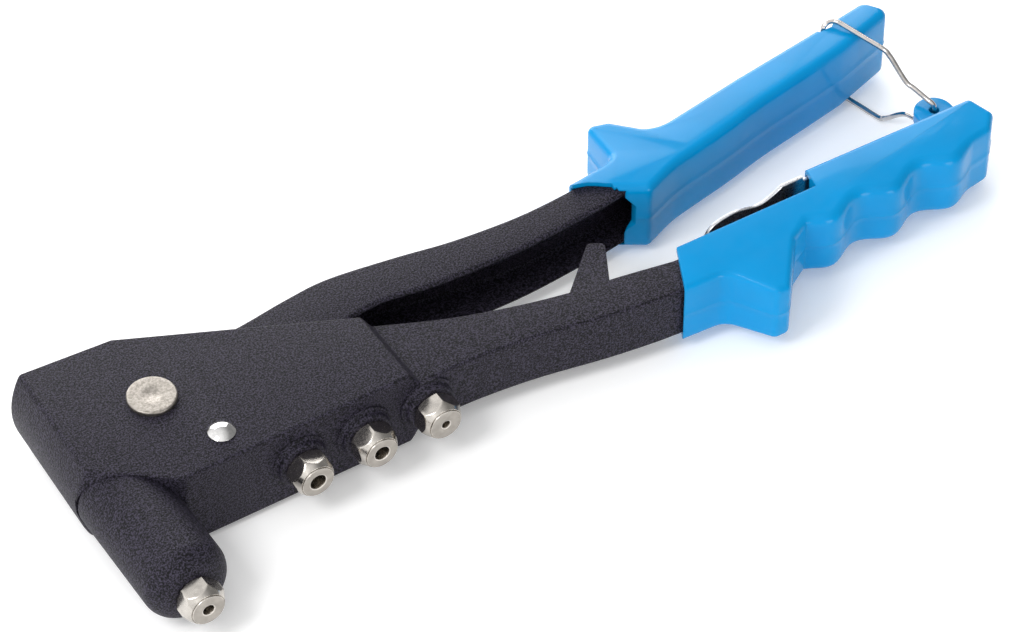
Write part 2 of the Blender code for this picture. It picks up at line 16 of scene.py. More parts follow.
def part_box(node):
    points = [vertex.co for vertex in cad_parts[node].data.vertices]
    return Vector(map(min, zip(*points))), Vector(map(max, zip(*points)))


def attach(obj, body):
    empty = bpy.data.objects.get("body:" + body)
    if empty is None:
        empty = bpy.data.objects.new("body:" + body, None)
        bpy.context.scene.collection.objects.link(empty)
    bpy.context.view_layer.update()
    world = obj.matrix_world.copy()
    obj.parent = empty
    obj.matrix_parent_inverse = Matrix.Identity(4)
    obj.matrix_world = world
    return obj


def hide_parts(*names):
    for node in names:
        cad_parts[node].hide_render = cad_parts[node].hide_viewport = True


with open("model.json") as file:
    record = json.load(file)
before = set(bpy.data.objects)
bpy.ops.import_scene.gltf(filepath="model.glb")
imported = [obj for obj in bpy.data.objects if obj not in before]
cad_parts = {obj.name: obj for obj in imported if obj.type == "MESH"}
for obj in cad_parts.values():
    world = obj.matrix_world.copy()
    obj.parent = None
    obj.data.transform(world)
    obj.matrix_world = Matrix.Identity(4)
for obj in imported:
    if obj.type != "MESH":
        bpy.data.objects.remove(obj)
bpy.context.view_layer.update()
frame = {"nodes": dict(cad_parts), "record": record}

METRE = 1000  # in the tool's millimetres
JOINTS = {joint["name"]: joint for joint in frame["record"]["behaviour"]["joints"]}
PIVOT = Vector(JOINTS["handle_swing"]["pos_m"])
EAR_PIN = (Vector(JOINTS["latch_swing"]["pos_m"]) - PIVOT) * METRE


def tool_box(name):
    """A CAD node's lowest and highest corners, in the tool's frame."""
    return [(corner - PIVOT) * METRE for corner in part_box(name)]


# Body.
BODY_HIGH = tool_box("body_frame")[1]
HEAD_HALF = BODY_HIGH.z
HEAD_WALL = 1.7
HEAD_INNER_HALF = HEAD_HALF - HEAD_WALL
ARM_HALF, ARM_INNER_HALF = 7.6, 5.9
HEAD_SIDE, SIDE_BULGE, SIDE_SLANT = -23.2, 3.1, 0.035
HEAD_FRONT, HEAD_START, HEAD_BACK = -26.8, -12.5, 24.0
STEP_START, STEP_END = 55.3, 58.8
STEP_PLACES = [STEP_START + i * 0.35 for i in range(11)]
BODY_EDGE = 0.75
ARM_END = BODY_HIGH.x
SPUR_INSET = 0.01
HEAD_FRONT_WALL, ARM_FRONT_WALL = 3, 2.5

# Barrel.
BARREL_LOW, BARREL_HIGH = tool_box("barrel")
BARREL_X = (BARREL_LOW.x + BARREL_HIGH.x) / 2
BARREL_R = (BARREL_HIGH.x - BARREL_LOW.x) / 2
BARREL_BORE_R, BARREL_NOSE_ROUND, BARREL_EDGE = 7.2, 6, 0.5
THREAD_R, THREAD_LENGTH = 3.8, 3.8
SADDLE_R = BARREL_R + 0.05
COLLAR_ROOM_R = 8.7
BOSS_R, BOSS_FRONT, BOSS_RIM, BOSS_ROOT = 6.5, -28.8, 0.9, 1.0
PLUG_FRONT = tool_box("spring_plug")[0].y
PLUG_HOLE_R = 6.7

# Pins.
RIVET_LOW, RIVET_HIGH = tool_box("pivot_rivet")
RIVET_R = (RIVET_HIGH.x - RIVET_LOW.x) / 2
PIN_LOW, PIN_HIGH = tool_box("stop_pin")
PIN_AT = ((PIN_LOW.x + PIN_HIGH.x) / 2, (PIN_LOW.y + PIN_HIGH.y) / 2)
PIN_R = (PIN_HIGH.x - PIN_LOW.x) / 2
DOME_RISE = 1.4
UNDER_HEADS = HEAD_HALF + 0.05
RIVET_SHANK_R, RIVET_HOLE_R, RIVET_TAIL_R = 3.7, 3.8, 5.6
PIN_SHANK_R, PIN_HOLE_R, PIN_TAIL_R = 2.2, 2.5, 3.3
THROUGH = 20  # half the length of a bar that drills right through

# Lever.
LEVER_HALF, LEVER_SHEET = tool_box("moving_lever")[1].z, 1.1
LEVER_END = tool_box("moving_lever")[1].x
HUB_R, TOE_R = 9.6, 3.5
TOE_START, TOE_TIP = -20.2, 0.001

# Grips.
FIXED_HALF = tool_box("fixed_grip")[1].z
MOVING_HALF = tool_box("moving_grip")[1].z
SEAM_RIDGE = 0.15
FIXED_RIM, WAVE_RIM, MOVING_RIM, EAR_RIM = 1.7, 1.1, 2.1, 0.6
FINGER_PITCH, FINGER_DEPTH = 19.0, 1.8
HORN_START, HORN_TAPER = -36, 0.009
CROWN_START, CROWN_END, CROWN_TAPER = 8, 20, 0.2
ARM_GAP, LEVER_GAP = 0.15, 0.2
SPANNER_ROOM_HALF = 7.6
EAR_R, EAR_HALF, EAR_HOLE_R = 5.2, 2.0, 1.35
PAST_SIDES = 15  # half the height of a cutter that is taller than a grip

# Nosepieces: node, its hole's radius, the hexagon's turn in degrees.
NOSEPIECES = (
    ("nosepiece_32", "nose", 1.35, 44),
    ("nosepiece_48", "spare_48", 2.0, 10),
    ("nosepiece_40", "spare_40", 1.85, 24),
    ("nosepiece_24", "spare_24", 1.0, 36),
)
HEX_AF = 10.0
HEX_CORNER_R, HEX_FRONT_R, HEX_LENGTH = 5.75, 4.45, 6.3
BACK_CHAMFER, FRONT_CHAMFER = 0.8, 2.25
FACE_R, FACE_STEP = 4.2, 0.35
THREADED_R, THREADED_TIP_R = 3.5, 2.9

# CAD nodes inside the head.
JAWS = ("jaw_1", "jaw_2", "jaw_3")
INSIDE = ("pivot_bush", *JAWS, "jaw_case", "jaw_collar", "jaw_pusher", "jaw_spring", "spring_plug")

# Spanner and latch.
SPANNER_EDGE = 0.25
WIRE_R = 0.7

# Studio: the range of the room's light, and each lamp's name, place, size and watts.
FLOOR_SIZE, FLOOR_GLOW = 6, 0.15
BRIGHT_SIDE = (-0.8, 0.1, 0.6)
DARKEST, BRIGHTEST = 0.3, 1.3
SHADE_START, SHADE_END = -0.2, 1.0
LAMPS = (
    ("key", (-0.7, -0.1, 0.8), 0.35, 4),
    ("behind", (0.35, 1.3, 0.45), 1.4, 22),
    ("front", (0.1, -1.2, 0.3), 0.5, 4),
)
LENS, SENSOR = 157.0, 36.0
CAMERA_FROM_PIVOT = Vector((-0.3129, -0.6585, 0.7632))
CAMERA_LOOK = Vector((0.37471, 0.59966, -0.70711))


# ---------------------------------------------------------------- outlines


def smooth(points, per=6):
    """A Catmull-Rom curve through the points, in two or three dimensions."""
    curve = []
    last = len(points) - 1
    for i in range(last):
        p0, p1, p2, p3 = (Vector(points[max(0, min(last, i + k))]) for k in (-1, 0, 1, 2))
        for j in range(per):
            t = j / per
            out = 2 * p1 + (p2 - p0) * t + (2 * p0 - 5 * p1 + 4 * p2 - p3) * t**2
            out += (3 * p1 - 3 * p2 + p3 - p0) * t**3
            curve.append(tuple(out / 2))
    return curve + [tuple(points[-1])]


def arc(centre, radius, start, end, count=12):
    """Points round a centre, from one angle in degrees to another."""
    step = (end - start) / count
    angles = [radians(start + step * i) for i in range(count + 1)]
    return [(centre[0] + radius * cos(a), centre[1] + radius * sin(a)) for a in angles]


def fillet(outline, count=6):
    """Rounds the corners of a closed outline that carry a radius: (x, y, radius)."""
    rounded = []
    total = len(outline)
    for i, (x, y, *radius) in enumerate(outline):
        here = Vector((x, y))
        if not radius:
            rounded.append((x, y))
            continue
        before = (Vector(outline[i - 1][:2]) - here).normalized()
        after = (Vector(outline[(i + 1) % total][:2]) - here).normalized()
        half = before.angle(after) / 2
        middle = here + (before + after).normalized() * radius[0] / sin(half)
        reach = radius[0] * cos(half) / sin(half)
        start, end = ((here + way * reach - middle).normalized() for way in (before, after))
        for j in range(count + 1):
            rounded.append(tuple(middle + start.slerp(end, j / count) * radius[0]))
    return rounded


def height_on(line, x):
    """The second coordinate of a line of points where the first is x."""
    if x <= line[0][0]:
        return line[0][1]
    for (x0, y0), (x1, y1) in zip(line, line[1:]):
        if x0 <= x <= x1 and x1 > x0:
            return y0 + (y1 - y0) * (x - x0) / (x1 - x0)
    return line[-1][1]


def eased_step(x, start, end):
    """0 before start, 1 after end, smooth between."""
    t = min(1, max(0, (x - start) / (end - start)))
    return t * t * (3 - 2 * t)


# ---------------------------------------------------------------- meshes

CLOSEST_SECTIONS = 0.04
CORNER_LIMIT = 0.6
WELD = 0.0001


def as_object(bm, name):
    """A new object in the scene from finished faces."""
    mesh = bpy.data.meshes.new(name)
    bmesh.ops.recalc_face_normals(bm, faces=bm.faces)
    bm.to_mesh(mesh)
    bm.free()
    obj = bpy.data.objects.new(name, mesh)
    bpy.context.scene.collection.objects.link(obj)
    return obj


def bridge(bm, rings):
    """Quads between closed rings that have the same number of points."""
    for lower, upper in zip(rings, rings[1:]):
        for i in range(len(lower)):
            bm.faces.new((lower[i - 1], lower[i], upper[i], upper[i - 1]))


def section(back, front, half, radius, sides=6, turns=4):
    """A rounded rectangle of (y, z) points that starts at its back side's middle.

    The radius is kept a little under half of either side.
    """
    radius = min(radius, half * 0.98, (back - front) * 0.49)
    run = half - radius
    quarter = [(back, run * i / sides) for i in range(sides + 1)]
    for k in range(1, turns + 1):
        a = pi / 2 * k / turns
        quarter.append((back - radius + radius * cos(a), run + radius * sin(a)))
    centre = (back + front) / 2
    mirrored = [(2 * centre - y, z) for y, z in quarter[::-1]]
    top = quarter + mirrored
    return top + [(y, -z) for y, z in top[-2:0:-1]]


def lengthwise(name, back, front, half, start, end, radius, at=(), end_round=0.0):
    """A body lofted along X: back, front and half give each section's edges and half-height.

    Sections stand about every millimetre and at the places in at. end_round rounds the start's rim.
    """
    count = int(end - start)
    places = {start, end, *at}
    places |= {start + (end - start) * i / count for i in range(count + 1)}
    insets = {}
    for i in range(5):
        a = pi / 2 * i / 4
        insets[start + end_round * (1 - cos(a))] = end_round * (1 - sin(a))
    places = {x for x in places if x > start + end_round} | set(insets)
    bm = bmesh.new()
    rings = []
    last = start - 1
    for x in sorted(places):
        if x - last < CLOSEST_SECTIONS:
            continue
        last = x
        inset = insets.get(x, 0)
        ring = section(back(x) - inset, front(x) + inset, half(x) - inset, radius)
        rings.append([bm.verts.new((x, y, z)) for y, z in ring])
    bridge(bm, rings)
    cap_strip(bm, rings[0])
    cap_strip(bm, rings[-1])
    return as_object(bm, name)


def cap_strip(bm, ring):
    """Closes a section with strips that run from its back to its front, so that it can be bent."""
    total = len(ring)
    half = total // 2
    quarter = half // 2
    order = [ring[(quarter - i) % total] for i in range(half)]
    facing = [ring[(quarter + 1 + i) % total] for i in range(half)]
    for i in range(half - 1):
        corners = [order[i], order[i + 1], facing[i + 1], facing[i]]
        if len(set(corners)) == 4:
            bm.faces.new(corners)


def inset_ring(outline, distances):
    """The anticlockwise outline moved inwards, by its own distance at each point.

    CORNER_LIMIT keeps a sharp corner from moving too far.
    """
    ring = []
    for i, here in enumerate(outline):
        here = Vector(here)
        before = (here - Vector(outline[i - 1])).normalized()
        after = (Vector(outline[(i + 1) % len(outline)]) - here).normalized()
        normal = Vector((-before.y - after.y, before.x + after.x)).normalized()
        ring.append(here + normal * distances[i] / max(CORNER_LIMIT, normal.dot((-before.y, before.x))))
    return ring


def anticlockwise(outline):
    """The same outline, turned round if it runs clockwise."""
    area = sum(x0 * y1 - x1 * y0 for (x0, y0), (x1, y1) in zip(outline, outline[1:] + outline[:1]))
    return outline if area > 0 else outline[::-1]


def pillow(name, outline, half, edge, ridge=0.0, turns=6):
    """A plan outline with rounded rims: edge gives the rim's radius at a point of the outline.

    The outline is the ridge at mid-height, and the sides stand back from it by the ridge's height.
    """
    outline = anticlockwise(outline)
    edges = [edge(x, y) for x, y in outline]
    rows = []
    for i in range(turns, -1, -1):
        turn = pi / 2 * i / turns
        rows.append([(r * (1 - cos(turn)), half - r + r * sin(turn)) for r in edges])
    for share in (0.6, 0.3, 0.06):
        rows.append([(0, (half - r) * share) for r in edges])
    middle = [(-ridge, 0) for _ in edges]
    rows = rows + [middle] + [[(d, -z) for d, z in row] for row in rows[::-1]]
    bm = bmesh.new()
    rings = []
    for row in rows:
        places = inset_ring(outline, [d + ridge for d, _ in row])
        rings.append([bm.verts.new((p.x, p.y, z)) for p, (_, z) in zip(places, row)])
    bridge(bm, rings)
    bm.faces.new(rings[0])
    bm.faces.new(rings[-1][::-1])
    return as_object(bm, name)


def plate(name, outline, low, high):
    """A flat outline with square rims."""
    outline = anticlockwise(list(outline))
    bm = bmesh.new()
    rings = [[bm.verts.new((x, y, z)) for x, y in outline] for z in (low, high)]
    bridge(bm, rings)
    bm.faces.new(rings[0][::-1])
    bm.faces.new(rings[1])
    return as_object(bm, name)


def lathe(name, profile, steps=72, limit=None):
    """A turned piece from (radius, z) points; limit(angle) caps the radius, as a hexagon does."""
    bm = bmesh.new()
    rings = []
    for radius, z in profile:
        ring = []
        for i in range(steps):
            a = 2 * pi * i / steps
            r = min(radius, limit(a)) if limit else radius
            ring.append(bm.verts.new((r * cos(a), r * sin(a), z)))
        rings.append(ring)
    bridge(bm, rings)
    if profile[0] != profile[-1]:
        bm.faces.new(rings[0])
        bm.faces.new(rings[-1])
    bmesh.ops.remove_doubles(bm, verts=bm.verts, dist=WELD)
    return as_object(bm, name)


def rod(name, radius, low, high, at=(0, 0), steps=64):
    """A round bar along Z, for cutting a hole."""
    obj = lathe(name, [(radius, low), (radius, high)], steps)
    obj.data.transform(Matrix.Translation((*at, 0)))
    return obj


def along_barrel(obj, x=BARREL_X):
    """Lays a piece turned about Z along Y, so that its z becomes the tool's y."""
    obj.data.transform(Matrix.Translation((x, 0, 0)) @ Matrix.Rotation(radians(-90), 4, "X"))
    return obj


def combine(obj, others, operation):
    """Adds or cuts away the others one after another, and uses them up."""
    for other in others:
        step = obj.modifiers.new("combine", "BOOLEAN")
        step.operation = operation
        step.solver = "EXACT"
        step.object = other
        bpy.context.view_layer.update()
        graph = bpy.context.evaluated_depsgraph_get()
        mesh = bpy.data.meshes.new_from_object(obj.evaluated_get(graph))
        obj.modifiers.clear()
        obj.data = mesh
        bpy.data.objects.remove(other, do_unlink=True)
    return obj


def cut(obj, *others):
    return combine(obj, others, "DIFFERENCE")


def joined(obj, *others):
    return combine(obj, others, "UNION")


def wire(name, points, radius):
    """A round wire along a smooth line of points."""
    data = bpy.data.curves.new(name, "CURVE")
    data.dimensions = "3D"
    data.bevel_depth = radius
    data.bevel_resolution = 5
    data.use_fill_caps = True
    path = smooth(points)
    spline = data.splines.new("POLY")
    spline.points.add(len(path) - 1)
    for point, at in zip(spline.points, path):
        point.co = (*at, 1)
    guide = bpy.data.objects.new(name, data)
    bpy.context.scene.collection.objects.link(guide)
    bpy.context.view_layer.update()
    mesh = bpy.data.meshes.new_from_object(guide.evaluated_get(bpy.context.evaluated_depsgraph_get()))
    bpy.data.objects.remove(guide, do_unlink=True)
    obj = bpy.data.objects.new(name, mesh)
    bpy.context.scene.collection.objects.link(obj)
    return obj


def place(obj, node, body, finish, sharp=38):
    """Puts a finished piece in the frame, in place of its CAD node."""
    obj.data.transform(Matrix.Translation(PIVOT) @ Matrix.Scale(1 / METRE, 4))
    obj.data.materials.clear()
    obj.data.materials.append(finish)
    obj.data.shade_smooth()
    obj.data.set_sharp_from_angle(angle=radians(sharp))
    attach(obj, body)
    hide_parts(node)


# ---------------------------------------------------------------- materials


def grey(level):
    return (level, level, level)


class Shader:
    """A Principled material whose nodes are added a line at a time. Its soft edge is in millimetres."""

    def __init__(self, name, metallic=0.0, soft_edge=0.0):
        self.material = bpy.data.materials.new(name)
        self.material.use_nodes = True
        self.nodes = self.material.node_tree.nodes
        self.links = self.material.node_tree.links
        self.shader = self.nodes["Principled BSDF"]
        self.value("Metallic", metallic)
        self.place = self.nodes.new("ShaderNodeTexCoord").outputs["Object"]
        self.normal = None
        if soft_edge:
            bevel = self.nodes.new("ShaderNodeBevel")
            bevel.samples = 4
            bevel.inputs["Radius"].default_value = soft_edge / METRE
            self.normal = bevel.outputs["Normal"]

    def value(self, name, amount):
        self.shader.inputs[name].default_value = amount

    def noise(self, per_mm, detail=3.0, roughness=0.5):
        noise = self.nodes.new("ShaderNodeTexNoise")
        noise.inputs["Scale"].default_value = per_mm * METRE
        noise.inputs["Detail"].default_value = detail
        noise.inputs["Roughness"].default_value = roughness
        self.links.new(self.place, noise.inputs["Vector"])
        return noise.outputs["Fac"]

    def ramp(self, source, low, high, low_colour, high_colour):
        ramp = self.nodes.new("ShaderNodeValToRGB")
        ramp.color_ramp.elements[0].position = low
        ramp.color_ramp.elements[1].position = high
        ramp.color_ramp.elements[0].color = (*low_colour, 1)
        ramp.color_ramp.elements[1].color = (*high_colour, 1)
        self.links.new(source, ramp.inputs["Fac"])
        return ramp.outputs["Color"]

    def bump(self, height, depth_mm, strength=1.0):
        bump = self.nodes.new("ShaderNodeBump")
        bump.inputs["Distance"].default_value = depth_mm / METRE
        bump.inputs["Strength"].default_value = strength
        self.links.new(height, bump.inputs["Height"])
        if self.normal:
            self.links.new(self.normal, bump.inputs["Normal"])
        self.normal = bump.outputs["Normal"]

    def set(self, name, source):
        self.links.new(source, self.shader.inputs[name])

    def done(self):
        if self.normal:
            self.links.new(self.normal, self.shader.inputs["Normal"])
        return self.material


def powder_coat():
    """Black paint with a coarse sparkling grain."""
    paint = Shader("black_powder_coat", soft_edge=0.3)
    grain = paint.noise(1.7, 3.0, 0.6)
    speck = paint.noise(2.4, 2.0, 0.6)
    paint.set("Base Color", paint.ramp(speck, 0.44, 0.6, (0.001, 0.001, 0.002), (0.040, 0.035, 0.056)))
    paint.set("Roughness", paint.ramp(grain, 0.3, 0.8, grey(0.45), grey(0.68)))
    paint.value("Specular IOR Level", 0.17)
    paint.bump(paint.noise(0.22, 2.0), 0.05, 0.5)
    paint.bump(grain, 0.3, 1.0)
    return paint.done()


def grip_pvc():
    """Glossy dip-moulded PVC, a little uneven."""
    pvc = Shader("blue_pvc", soft_edge=0.6)
    patch = pvc.noise(0.06, 2.0)
    pvc.set("Base Color", pvc.ramp(patch, 0.3, 0.7, (0.0, 0.232, 0.525), (0.0, 0.258, 0.58)))
    pvc.set("Roughness", pvc.ramp(pvc.noise(0.3, 2.0), 0.3, 0.7, grey(0.17), grey(0.26)))
    pvc.value("Specular IOR Level", 0.12)
    pvc.value("Coat Weight", 0.15)
    pvc.value("Coat Roughness", 0.06)
    pvc.bump(pvc.noise(0.08, 2.0), 0.1, 0.3)
    return pvc.done()


def worn_metal(name, colour, roughness, scratch=0.3, soft_edge=0.15):
    """Bare or plated metal with fine scratches and a mottled shine."""
    metal = Shader(name, 1.0, soft_edge)
    mottle = metal.noise(0.5, 4.0, 0.6)
    fine = metal.noise(2.0, 3.0, 0.6)
    dark = tuple(c * 0.72 for c in colour)
    metal.set("Base Color", metal.ramp(mottle, 0.25, 0.7, dark, colour))
    metal.set("Roughness", metal.ramp(fine, 0.3, 0.7, grey(roughness * 0.75), grey(roughness * 1.3)))
    metal.bump(fine, 0.03, scratch)
    return metal.done()


def rivet_metal():
    """Dull rivet steel, dimpled where the tool that set it struck."""
    metal = Shader("rivet_steel", 1.0, 0.2)
    dents = metal.noise(1.6, 5.0, 0.65)
    metal.set("Base Color", metal.ramp(dents, 0.35, 0.62, (0.23, 0.21, 0.185), (0.40, 0.37, 0.335)))
    metal.set("Roughness", metal.ramp(metal.noise(1.5, 3.0), 0.3, 0.7, grey(0.28), grey(0.5)))
    metal.bump(dents, 0.18, 0.5)
    return metal.done()


# ---------------------------------------------------------------- body and barrel

ARM_BACK = smooth(
    [(54.5, -1.9), (59.5, -3.8), (67, -7.2), (77, -11.3), (92, -15.9), (106, -19), (118, -20.6), (133, -23.2)]
)
ARM_FRONT = smooth([(62, -26.1), (74, -26.1), (90, -27.6), (109, -31.0), (122, -32.7), (130, -33.3)])
BODY_BACK = [(-30, 24), (-24, 24), (1, 22.6), *ARM_BACK, (150, -23.6), (ARM_END, -21.6)]
SHOULDER = [(-23.3, HEAD_START), (-22, -13.4), (-19.6, -15.9), (-7.8, -25.8), (-5.8, HEAD_FRONT)]
BODY_FRONT = [(-30, HEAD_START), *SHOULDER, *ARM_FRONT, (146, -32.2), (165, -28), (ARM_END, -25.8)]


def body_half(x):
    return HEAD_HALF - (HEAD_HALF - ARM_HALF) * eased_step(x, STEP_START, STEP_END)


def body_inner_half(x):
    return HEAD_INNER_HALF - (HEAD_INNER_HALF - ARM_INNER_HALF) * eased_step(x, STEP_START, STEP_END)


def bulge_side(obj):
    """Swells the head's side wall, most at mid-height, and leans it outwards towards the nose."""
    for vert in obj.data.vertices:
        weight = 1 - eased_step(vert.co.x, HEAD_SIDE + 1, HEAD_SIDE + 9)
        out = SIDE_BULGE * max(0, 1 - (vert.co.z / HEAD_HALF) ** 2)
        vert.co.x -= weight * (out + SIDE_SLANT * (HEAD_BACK - vert.co.y))


def spur(low, high):
    """The arm's pointed spur, one for each wall."""
    outline = fillet([(103, -22), (105.6, -19.0), (118.3, -7.0, 1.3), (122.0, -9.3, 1.3), (115.0, -22.5)])
    return plate("spur", outline, low, high)


def boss(x):
    """The raised round seat of a spare nosepiece, blended into the front wall."""
    foot_r = BOSS_R + BOSS_ROOT
    root = arc((foot_r, HEAD_FRONT - BOSS_ROOT), BOSS_ROOT, 90, 180, 6)
    rim = arc((BOSS_R - BOSS_RIM, BOSS_FRONT + BOSS_RIM), BOSS_RIM, 0, -90, 6)
    profile = [(0.01, HEAD_FRONT + 2), (foot_r, HEAD_FRONT + 2), *root, *rim, (0.01, BOSS_FRONT)]
    return along_barrel(lathe("boss", profile), x)


def body():
    """The hollow casting, open at the back, with its spurs, its bosses and the holes for what it holds."""
    corners = [x for line in (BODY_BACK, BODY_FRONT) for x, _ in line if HEAD_SIDE < x < ARM_END]
    shell = lengthwise(
        "body",
        lambda x: height_on(BODY_BACK, x),
        lambda x: height_on(BODY_FRONT, x),
        body_half,
        HEAD_SIDE,
        ARM_END,
        BODY_EDGE,
        at=[*corners, *STEP_PLACES],
        end_round=BODY_EDGE,
    )
    bulge_side(shell)
    hollow_front = [(-8, HEAD_FRONT + HEAD_FRONT_WALL), (57, HEAD_FRONT + HEAD_FRONT_WALL)]
    hollow_front += [(x, y + ARM_FRONT_WALL) for x, y in ARM_FRONT[1:]]
    hollow_front += [(146, -29.6), (165, -25.6), (ARM_END + 3, -23.4)]
    hollow = lengthwise(
        "hollow",
        lambda x: 40,
        lambda x: height_on(hollow_front, x),
        body_inner_half,
        -7,
        ARM_END + 3,
        0.6,
        at=STEP_PLACES,
    )
    collar_room = lengthwise(
        "collar_room", lambda x: PLUG_FRONT, lambda x: HEAD_START, lambda x: HEAD_INNER_HALF, -22.6, -5.2, 0.6
    )
    inner, outer = ARM_INNER_HALF + SPUR_INSET, ARM_HALF - SPUR_INSET
    spurs = [spur(inner, outer), spur(-outer, -inner)]
    seats = [sum(corner.x for corner in tool_box(name)) / 2 for name, _, _, _ in NOSEPIECES[1:]]
    shell = joined(shell, *spurs, *(boss(x) for x in seats))
    saddle = along_barrel(rod("saddle", SADDLE_R, HEAD_FRONT - 6, HEAD_START + 1))
    run = along_barrel(rod("run", COLLAR_ROOM_R, HEAD_START - 1, PLUG_FRONT))
    plug_hole = along_barrel(rod("plug_hole", PLUG_HOLE_R, PLUG_FRONT - 1, 30))
    shell = cut(shell, hollow, collar_room, saddle, run, plug_hole)
    pivot_hole = rod("pivot_hole", RIVET_HOLE_R, -THROUGH, THROUGH)
    pin_hole = rod("pin_hole", PIN_HOLE_R, -THROUGH, THROUGH, PIN_AT)
    cut(shell, pivot_hole, pin_hole)
    for x in seats:
        cut(shell, along_barrel(rod("hole", THREAD_R, BOSS_FRONT - 2, HEAD_FRONT + 8), x))
    place(shell, "body_frame", "frame", PAINT)


def barrel():
    """The casting that holds the jaws, with a rounded nose and a hole that the nosepiece screws into."""
    front, rear = BARREL_LOW.y, BARREL_HIGH.y
    nose_centre = (BARREL_R - BARREL_NOSE_ROUND, front + BARREL_NOSE_ROUND)
    nose = arc(nose_centre, BARREL_NOSE_ROUND, 0, -90, 14)
    profile = [(BARREL_BORE_R, rear), (BARREL_R - BARREL_EDGE, rear), (BARREL_R, rear - BARREL_EDGE), *nose]
    profile += [(THREAD_R, front), (THREAD_R, front + THREAD_LENGTH)]
    profile += [(BARREL_BORE_R, front + THREAD_LENGTH), (BARREL_BORE_R, rear)]
    place(along_barrel(lathe("barrel_casting", profile, 96)), "barrel", "frame", PAINT)


# ---------------------------------------------------------------- lever

TOE = (BARREL_X, -3.0)
LEVER_BACK = smooth(
    [(10, 10.9), (29.5, 12.4), (45, 14.6), (57, 15.4), (75, 13.1), (90, 10.6), (108, 9.4),
     (124, 10.3), (140, 12.2), (160, 16.0), (LEVER_END, 22.4)]
)
LEVER_FRONT = smooth(
    [(5, -9.1), (28, -4.6), (52, 0), (64, 1.5), (77, -0.3), (90, -1.0), (105, -1.0), (120, 0.3),
     (133, 1.9), (160, 7.3), (LEVER_END, 17.4)]
)


def lever():
    """A steel channel, open at the front, with a hub round the pivot and a toe that reaches the barrel."""
    hub_start = -9.5
    back = arc(TOE, TOE_R, 180, 40)[:-1] + [(-12.6, -1.1), (hub_start, -0.6)]
    back += [p for p in arc((0, 0), HUB_R, 172, 78) if p[0] > hub_start] + LEVER_BACK
    front = [(-20.3, -3.0), (-20.0, -3.7), (-19.2, -4.1), (-12, -5.6)]
    front += arc((0, 0), HUB_R, 218, 300)[1:] + LEVER_FRONT
    corners = [x for line in (back, front) for x, _ in line if TOE_START < x < LEVER_END]
    solid = lengthwise(
        "lever",
        lambda x: height_on(back, x),
        lambda x: height_on(front, x) - TOE_TIP,
        lambda x: LEVER_HALF,
        TOE_START,
        LEVER_END,
        LEVER_SHEET,
        at=corners,
    )
    hub_back = 15.4
    web = [(15.0, 60), (hub_back, height_on(LEVER_BACK, hub_back) - LEVER_SHEET)]
    web += [(x, y - LEVER_SHEET) for x, y in LEVER_BACK if x > 16]
    hollow = lengthwise(
        "hollow",
        lambda x: height_on(web, x),
        lambda x: -40,
        lambda x: LEVER_HALF - LEVER_SHEET,
        -30,
        LEVER_END + 4,
        0.8,
        at=[14.9, 15.0, 15.2],
    )
    solid = cut(solid, hollow, rod("pivot_hole", RIVET_HOLE_R, -THROUGH, THROUGH))
    place(solid, "moving_lever", "handle", PAINT)


# ---------------------------------------------------------------- grips


def finger_side(x):
    """The fixed grip's outer side: a slight slope with three finger waves."""
    middle = -31.2 + 0.035 * (x - 186)
    return middle - FINGER_DEPTH * cos(2 * pi * (x - 194.0) / FINGER_PITCH)


def narrow_horn(obj):
    """Makes the fixed grip's horn thinner towards its tip."""
    for vert in obj.data.vertices:
        vert.co.z *= 1 - HORN_TAPER * max(0, HORN_START - vert.co.y)


def crown(obj):
    """Narrows the moving grip towards its back, where the palm rests."""
    for vert in obj.data.vertices:
        front = height_on(GRIP_FRONT, vert.co.x)
        vert.co.z *= 1 - CROWN_TAPER * eased_step(vert.co.y, front + CROWN_START, front + CROWN_END)


def fixed_grip():
    """The sleeve on the arm: a horn, finger waves, an ear for the latch and a window for the spanner."""
    horn = [(141.0, -35.2, 5.0), (148.0, -46.9, 2.2), (152.0, -46.9, 2.2), (162.5, -33.6, 3.0)]
    waves = [(x, finger_side(x)) for x in range(168, 222)]
    end = [(227.0, -27.4, 3.2), (231.3, -22.6, 2.0), (229.2, -14.6, 1.8)]
    outline = fillet([(118, -34.1), *horn, *waves, *end, (118, -13.9)])

    def edge(x, y):
        """A rounder rim along the finger waves."""
        return FIXED_RIM + WAVE_RIM * eased_step(x, 164, 170) * (1 - eased_step(x, 216, 222)) * (y < -24)

    grip = pillow("fixed_grip_sleeve", outline, FIXED_HALF, edge, ridge=SEAM_RIDGE)
    narrow_horn(grip)
    ear_top = arc(EAR_PIN.xy, EAR_R, 165, 0, 24)
    ear_outline = [(211, -17), (215, -13.8), (218.2, -10.4), *ear_top, (229.0, -17)]
    ear = pillow("ear", ear_outline, EAR_HALF, lambda x, y: EAR_RIM, turns=3)
    grip = joined(grip, ear)
    window = [(110, -50), (128.7, -50), (128.7, -35), (135.2, -21.3)]
    window += [(177, -21.3), (178.4, -14.6), (181, -10)]
    sleeve = [(120, -20.9), (ARM_END + 1.5, -20.9), (ARM_END + 1.5, -26.3)]
    sleeve += [(165, -28.4), (146, -32.7), (130, -33.7), (120, -33.6)]
    pocket = [(170, -17.3), (192.5, -17.3), (192.5, -15.0), (170, -15.0)]
    grip = cut(
        grip,
        plate("window", [*window, (110, -10)], -PAST_SIDES, PAST_SIDES),
        plate("sleeve", sleeve, -ARM_HALF - ARM_GAP, ARM_HALF + ARM_GAP),
        plate("pocket", pocket, -SPANNER_ROOM_HALF, SPANNER_ROOM_HALF),
        rod("ear_hole", EAR_HOLE_R, -5, 5, EAR_PIN.xy, 32),
    )
    place(grip, "fixed_grip", "frame", PVC)


